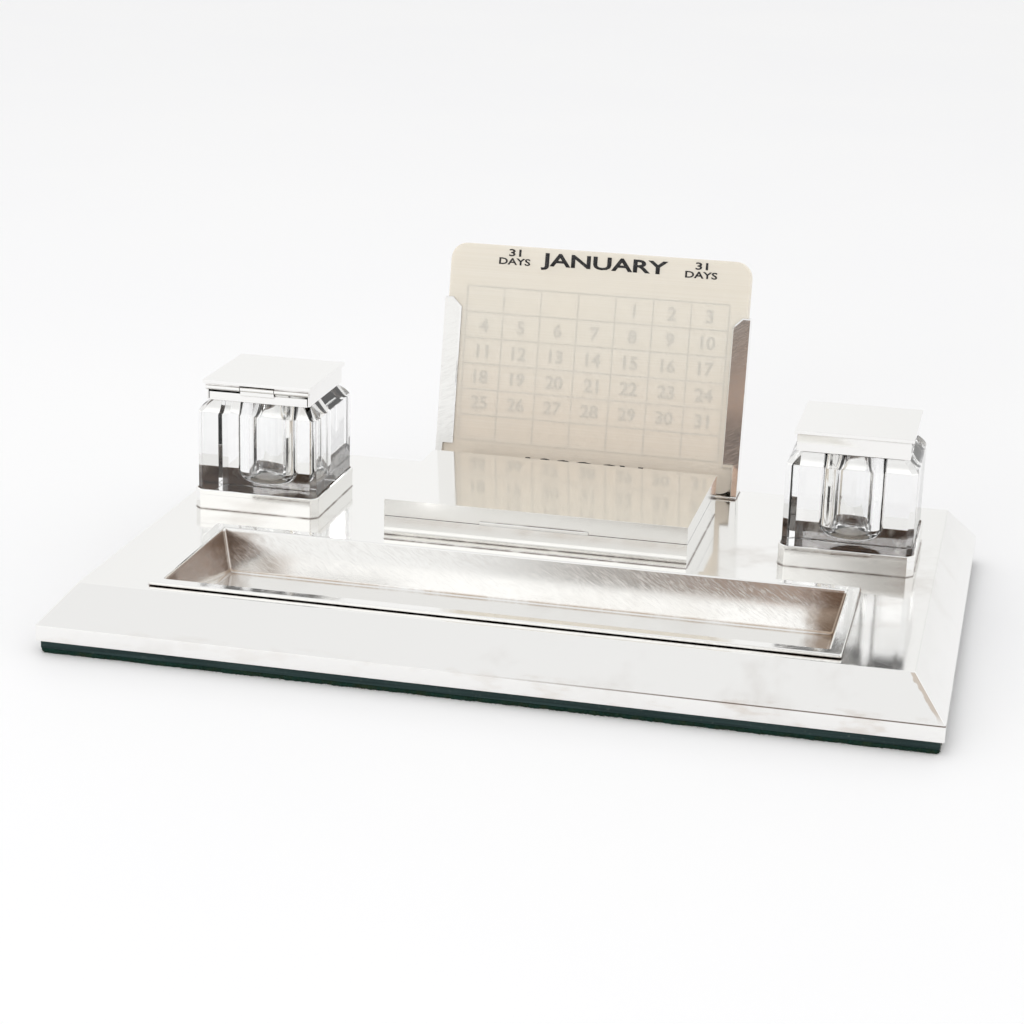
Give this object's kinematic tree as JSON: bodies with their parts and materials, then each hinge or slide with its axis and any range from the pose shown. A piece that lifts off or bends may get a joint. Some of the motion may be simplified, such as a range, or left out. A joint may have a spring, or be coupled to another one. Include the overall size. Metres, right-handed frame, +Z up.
{
  "type": "desk inkstand",
  "caption": "Bevelled silver desk inkstand with a lift-out pen tray, square glass inkwells with hinged lids, a hinged box and a leaning holder for calendar cards.",
  "frame": {"origin": "middle of the base's underside, on the desk", "axes": "+X to the user's right along the pen tray, +Y towards the calendar at the back, +Z up"},
  "size_m": [0.33, 0.217, 0.1217],
  "materials": {
    "silver": "polished sterling silver, faintly tarnished at the seams",
    "pin_steel": "drawn wire",
    "clear_glass": "cut and polished",
    "celluloid": "ivory coloured, faintly translucent",
    "cedar": "oiled cedar",
    "core_wood": "sawn softwood",
    "stained_board": "stained dark green",
    "baize": "woollen baize",
    "pad_leather": "dark, matt",
    "brass": "turned"
  },
  "bodies": {
    "stand": {"baize": "baize", "base_board": "stained_board", "board_screws": "brass", "wood_core": "core_wood", "base_shell": "silver", "left_socket": "silver", "left_pad": "pad_leather", "right_socket": "silver", "right_pad": "pad_leather", "box_body": "silver", "box_lining": "cedar", "box_hinge_pin": "pin_steel", "calendar_foot": "silver", "left_rail": "silver", "right_rail": "silver"},
    "tray": {"pen_tray": "silver"},
    "left_inkwell": {"left_glass": "clear_glass", "left_collar": "silver", "left_hinge_pin": "pin_steel"},
    "left_inkwell_lid": {"left_lid": "silver"},
    "right_inkwell": {"right_glass": "clear_glass", "right_collar": "silver", "right_hinge_pin": "pin_steel"},
    "right_inkwell_lid": {"right_lid": "silver"},
    "box_cover": {"box_lid": "silver", "box_thumb_strip": "silver"},
    "card_month": {"month_card": "celluloid"},
    "card_date": {"date_card": "celluloid"},
    "card_spare_1": {"spare_card_1": "celluloid"},
    "card_spare_2": {"spare_card_2": "celluloid"},
    "card_spare_3": {"spare_card_3": "celluloid"}
  },
  "joints": [
    {"name": "tray_lift", "type": "slide", "parent": "stand", "child": "tray", "axis": [0, 0, 1], "range_m": [0, 0.04]},
    {"name": "left_inkwell_lift", "type": "slide", "parent": "stand", "child": "left_inkwell", "axis": [0, 0, 1], "range_m": [0, 0.06]},
    {"name": "left_lid_hinge", "type": "hinge", "parent": "left_inkwell", "child": "left_inkwell_lid", "pos_m": [-0.1188, 0.0067, 0.0752], "axis": [1, 0, 0], "range_deg": [0, 100]},
    {"name": "right_inkwell_lift", "type": "slide", "parent": "stand", "child": "right_inkwell", "axis": [0, 0, 1], "range_m": [0, 0.06]},
    {"name": "right_lid_hinge", "type": "hinge", "parent": "right_inkwell", "child": "right_inkwell_lid", "pos_m": [0.1188, 0.0507, 0.0752], "axis": [-1, 0, 0], "range_deg": [0, 100]},
    {"name": "box_lid_hinge", "type": "hinge", "parent": "stand", "child": "box_cover", "pos_m": [0, 0.0614, 0.0345], "axis": [-1, 0, 0], "range_deg": [0, 100]},
    {"name": "month_card_lift", "type": "slide", "parent": "stand", "child": "card_month", "axis": [0, 0.1908, 0.9816], "range_m": [0, 0.1]},
    {"name": "date_card_lift", "type": "slide", "parent": "stand", "child": "card_date", "axis": [0, 0.1908, 0.9816], "range_m": [0, 0.1]},
    {"name": "spare_card_1_lift", "type": "slide", "parent": "stand", "child": "card_spare_1", "axis": [0, 0.1908, 0.9816], "range_m": [0, 0.1]},
    {"name": "spare_card_2_lift", "type": "slide", "parent": "stand", "child": "card_spare_2", "axis": [0, 0.1908, 0.9816], "range_m": [0, 0.1]},
    {"name": "spare_card_3_lift", "type": "slide", "parent": "stand", "child": "card_spare_3", "axis": [0, 0.1908, 0.9816], "range_m": [0, 0.1]}
  ]
}
